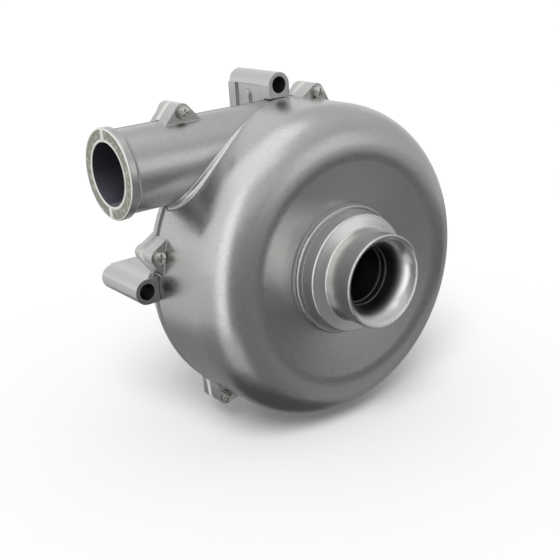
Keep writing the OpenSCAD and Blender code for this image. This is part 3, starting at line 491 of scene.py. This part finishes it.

# %% [markdown]
# The duct's bore is painted dark and a little blue as painted shade, with a painted pool of light on its lower wall.
# Its cut face is rough, dull and mottled, and both of the face's rims are worn and also painted bright as a
# highlight.

# %% The duct's bore and face
FACE_X, SPOTS, SPOT_LIMIT = -53.4, 0.9, 0.56
INNER_RIM, OUTER_RIM, LOWER_WALL = 0.35, 0.45, 8
# painted shade: the inside of the duct's bore is coloured dark and bluish
DUCT_BORE_PAINTED_SHADE = (0.13, 0.13, 0.15), 0.6
# painted light: the bore's lower wall is paler, fading out up to the duct's axis, as a patch of light from the mouth
BORE_FLOOR_PAINTED_LIGHT = (0.4, 0.4, 0.5), 0.5
CUT_FACE = (0.34, 0.35, 0.30), 0.65
FACE_SPOTS = (0.5, 0.51, 0.45), 0.55
# worn and painted highlight: both rims of the cut face are coloured near white, as bright edge lines
RIM_WEAR_AND_HIGHLIGHT = (0.85, 0.85, 0.8), 0.3

in_bore = below(cast, off_duct, BORE_R)
where(cast, in_bore, *DUCT_BORE_PAINTED_SHADE)
where(cast, both(cast, in_bore, fade(cast, along(cast, 2), DUCT_Z - LOWER_WALL, DUCT_Z)), *BORE_FLOOR_PAINTED_LIGHT)
face = below(cast, along(cast, 0), FACE_X)
where(cast, face, *CUT_FACE)
where(cast, both(cast, face, maths(cast, "GREATER_THAN", noise(cast, SPOTS, 3), SPOT_LIMIT)), *FACE_SPOTS)
rims = either(cast, below(cast, off_duct, BORE_R + INNER_RIM), beyond(cast, off_duct, RING_R - OUTER_RIM))
where(cast, both(cast, face, rims), *RIM_WEAR_AND_HIGHLIGHT)
print("nodes of the whole casting's finish:", len(cast.tree.nodes))

# %% [markdown]
# ## The turned nozzle
# The nozzle is cut on a lathe, so it is brighter than the casting and carries faint rings. A ring is the same all
# the way round, so the noise reads only the distance from the axis and the place along it. Grooves as an even wave
# would be finer than a pixel here and speckle, so the rings change colour and sheen alone. The throat has painted
# shade.

# %% Turned aluminium
RING_WIDTH, THROAT_R, BELL_R = 1.2, 8.4, 9.8
THROAT_PAINTED_SHADE = (0.12, 0.12, 0.12), 0.45


def turning_marks(finish, width_mm):
    """Rings left by a lathe: a noise that reads (distance from the shaft's axis, place along it, 0)."""
    at = finish.node("ShaderNodeCombineXYZ")
    finish.link(axis_distance(finish), at.inputs[0])
    finish.link(along(finish, 1), at.inputs[1])
    return noise_at(finish, at.outputs[0], 1 / (width_mm * MM))


turned = Finish("turned_aluminium", (0.6, 0.6, 0.59), 1.0, 0.25)
marks = turning_marks(turned, RING_WIDTH)
tint(turned, marks, low=0.97, high=1.03)
sheen(turned, marks, low=0.22, high=0.27)
soft_edges(turned, radius_mm=0.5)
# painted shade: the throat is coloured near black, fading out towards the bell
where(turned, fade(turned, axis_distance(turned), THROAT_R, BELL_R), *THROAT_PAINTED_SHADE)
print("finishes so far:", sorted(FINISHES))

# %% [markdown]
# ## Screws, steels, plastics and rubber
# These cover small or hidden parts, and one recipe in a table is enough for them: a grain in the relief, and
# wider clouds of the same noise in the colour and in the roughness.

# %% Small parts
TINT_CLOUD, SHEEN_CLOUD, SHEEN_SWING = 4, 6, 0.12
PLAIN = [
    # name, colour, metallic, roughness, grain in mm, tint low and high, relief depth in mm
    ("screw_steel", (0.62, 0.61, 0.58), 1.0, 0.13, 0.8, 0.9, 1.05, 0.003),
    ("spring_steel", (0.42, 0.42, 0.43), 1.0, 0.3, 1.5, 0.9, 1.05, 0.003),
    ("impeller_plastic", (0.03, 0.03, 0.033), 0.0, 0.45, 0.3, 0.85, 1.2, 0.006),
    ("brass", (0.72, 0.53, 0.25), 1.0, 0.25, 2.0, 0.92, 1.05, 0.003),
    ("shaft_steel", (0.6, 0.6, 0.61), 1.0, 0.2, 1.0, 0.94, 1.04, 0.001),
    ("bearing_steel", (0.7, 0.7, 0.71), 1.0, 0.12, 2.0, 0.96, 1.02, 0.001),
    ("magnet", (0.12, 0.12, 0.13), 0.6, 0.45, 0.8, 0.9, 1.1, 0.004),
    ("insulator_plastic", (0.75, 0.72, 0.62), 0.0, 0.5, 3.0, 0.96, 1.03, 0.004),
    ("board_laminate", (0.03, 0.16, 0.07), 0.0, 0.3, 0.6, 0.85, 1.15, 0.003),
    ("component_plastic", (0.02, 0.02, 0.02), 0.0, 0.5, 0.4, 0.8, 1.3, 0.004),
    ("rubber", (0.03, 0.03, 0.03), 0.0, 0.75, 0.5, 0.8, 1.2, 0.01),
]
for name, colour, metallic, rough, grain, low, high, depth in PLAIN:
    finish = Finish(name, colour, metallic, rough)
    tint(finish, noise(finish, grain * TINT_CLOUD, 3), low, high)
    relief(finish, noise(finish, grain), depth)
    sheen(finish, noise(finish, grain * SHEEN_CLOUD), rough * (1 - SHEEN_SWING), rough * (1 + SHEEN_SWING))
print("finishes so far:", len(FINISHES))

# %% [markdown]
# ## The gasket
# The gasket between the halves is a pale sheet. Only its ends at the ears and across the outlet's face stay clean.
# Along the drum and the duct its edge is grey with dirt, so that it reads as a thin dark joint. Two sheets could
# show this as well, but one node has one finish, and the masks find the place.

# %% Gasket
FIBRE, EDGE_ROOM = 0.4, 0.2
SOILED = (0.16, 0.16, 0.16), 0.5

gasket = Finish("gasket_sheet", (0.62, 0.63, 0.60), 0.0, 0.7)
tint(gasket, noise(gasket, FIBRE * 4, 3), low=0.9, high=1.05)
relief(gasket, noise(gasket, FIBRE), depth_mm=0.01)
sheen(gasket, noise(gasket, FIBRE * 6), low=0.62, high=0.78)
on_drum = below(gasket, axis_distance(gasket), DRUM_R + EDGE_ROOM)
on_duct = below(gasket, duct_distance(gasket), DUCT_R + EDGE_ROOM)
where(gasket, either(gasket, on_drum, both(gasket, on_duct, beyond(gasket, along(gasket, 0), FACE_X))), *SOILED)
print("nodes of the gasket's finish:", len(gasket.tree.nodes))

# %% [markdown]
# ## The stator
# The core is a stack of thin sheets, so its relief is a noise that changes along the shaft only. The coils are
# wound wire, whose rows show as even rings: the sine of 2 pi times the distance from the axis over the wire's
# width. Neither shows from outside, so neither gets more than this.

# %% Sheets and wire
SHEET, SHEET_STRETCH, SHEET_CLOUD, SHEET_DEPTH = 0.5, (400, 1, 400), 3, 0.03
WIRE, WIRE_DEPTH = 0.6, 0.08

laminated = Finish("lamination_steel", (0.16, 0.17, 0.19), 0.7, 0.4)
tint(laminated, noise(laminated, SHEET_CLOUD), low=0.85, high=1.1)
relief(laminated, noise(laminated, SHEET, 1, SHEET_STRETCH), SHEET_DEPTH)

wound = Finish("copper_wire", (0.5, 0.2, 0.07), 0.9, 0.3)
tint(wound, noise(wound, WIRE), low=0.85, high=1.12)
phase = maths(wound, "MULTIPLY", axis_distance(wound), 2 * np.pi / (WIRE * MM))
relief(wound, maths(wound, "SINE", phase), WIRE_DEPTH)
print("finishes:", len(FINISHES))

# %% [markdown]
# ## Finishes onto the nodes
# The record names a material slot for every node, and each slot has the finish of the same name.

# %% Dress the nodes
dressed = {}
for part in frame["record"]["subparts"]:
    mesh = nodes[part["node"]].data
    mesh.materials.clear()
    mesh.materials.append(FINISHES[part["material_slot"]])
    dressed.setdefault(part["material_slot"], []).append(part["node"])
print("nodes by finish:", {slot: len(names) for slot, names in dressed.items()})

# %% [markdown]
# ## The fillet between the duct and the drum
# Where the round duct leaves the round drum, the casting has a soft inside corner. A ball that rolls along the
# corner and touches both cylinders sweeps exactly this shape. The ball's centre keeps the ball's radius away from
# both walls, so its path is where two wider cylinders cross, and the fillet is the arc between its two touching
# points. A bevel on the solids' own edges would do it too, but their meshes are left as they are.

# %% Rings along the corner
BALL, SINK, T_FIRST, T_LAST = 1.2, 0.35, 4, 176


def duct_fillet(steps=120, arc=10):
    """Rings along the corner, an array (steps, arc + 1, 3) in millimetres. An angle t runs round the duct from its
    top over its front to its bottom. The ball's centre is (duct radius + ball) away from the duct's axis and (drum
    radius + ball) away from the drum's. The arc turns evenly from the duct's touching point to the drum's, with the
    weights sin((1 - w) turn) / sin(turn) and sin(w turn) / sin(turn), and a point sunk in the metal closes it."""
    t = np.radians(np.linspace(T_FIRST, T_LAST, steps))
    front = (DUCT_R + BALL) * np.sin(t)
    height = DUCT_Z + (DUCT_R + BALL) * np.cos(t)
    side = -np.sqrt((DRUM_R + BALL) ** 2 - height ** 2)
    centre = np.stack([side, -REAR_H - front, height], 1)
    to_duct = np.stack([np.zeros_like(t), np.sin(t), -np.cos(t)], 1)
    to_drum = np.stack([-side, np.zeros_like(t), -height], 1) / (DRUM_R + BALL)
    turn = np.arccos(np.clip((to_duct * to_drum).sum(1), -1, 1))[:, None, None]
    w = np.linspace(0, 1, arc)[None, :, None]
    toward = (np.sin((1 - w) * turn) * to_duct[:, None] + np.sin(w * turn) * to_drum[:, None]) / np.sin(turn)
    arcs = centre[:, None] + BALL * toward
    middle = to_duct + to_drum
    middle /= np.linalg.norm(middle, axis=1)[:, None]
    sunk = centre + (BALL / np.cos(turn[:, 0] / 2) + SINK) * middle
    return np.concatenate([arcs, sunk[:, None]], 1)


rings = duct_fillet()
print("rings:", rings.shape)


# %% Fillet
def tube_mesh(name, rings, finish, body="housing"):
    """A closed piece from rings of points, an array (steps, points, 3) in millimetres: four-sided faces from ring
    to ring, and at both ends a fan round the end ring's middle."""
    n, m = rings.shape[:2]
    verts = np.concatenate([rings.reshape(-1, 3), rings[[0, -1]].mean(1)])
    i, j = np.meshgrid(np.arange(n - 1), np.arange(m), indexing="ij")
    a, b = i * m + j, i * m + (j + 1) % m
    sides = np.stack([a, b, b + m, a + m], -1).reshape(-1, 4)
    k = np.arange(m)
    first = np.stack([(k + 1) % m, k, np.full(m, n * m)], 1)
    last = np.stack([(n - 1) * m + k, (n - 1) * m + (k + 1) % m, np.full(m, n * m + 1)], 1)
    obj = mesh_object(name, verts, sides.tolist() + first.tolist() + last.tolist())
    obj.data.materials.append(FINISHES[finish])
    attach(obj, body)
    return obj


fillet = tube_mesh("duct_fillet", rings, "cast_aluminium")
print("fillet vertices:", len(fillet.data.vertices))
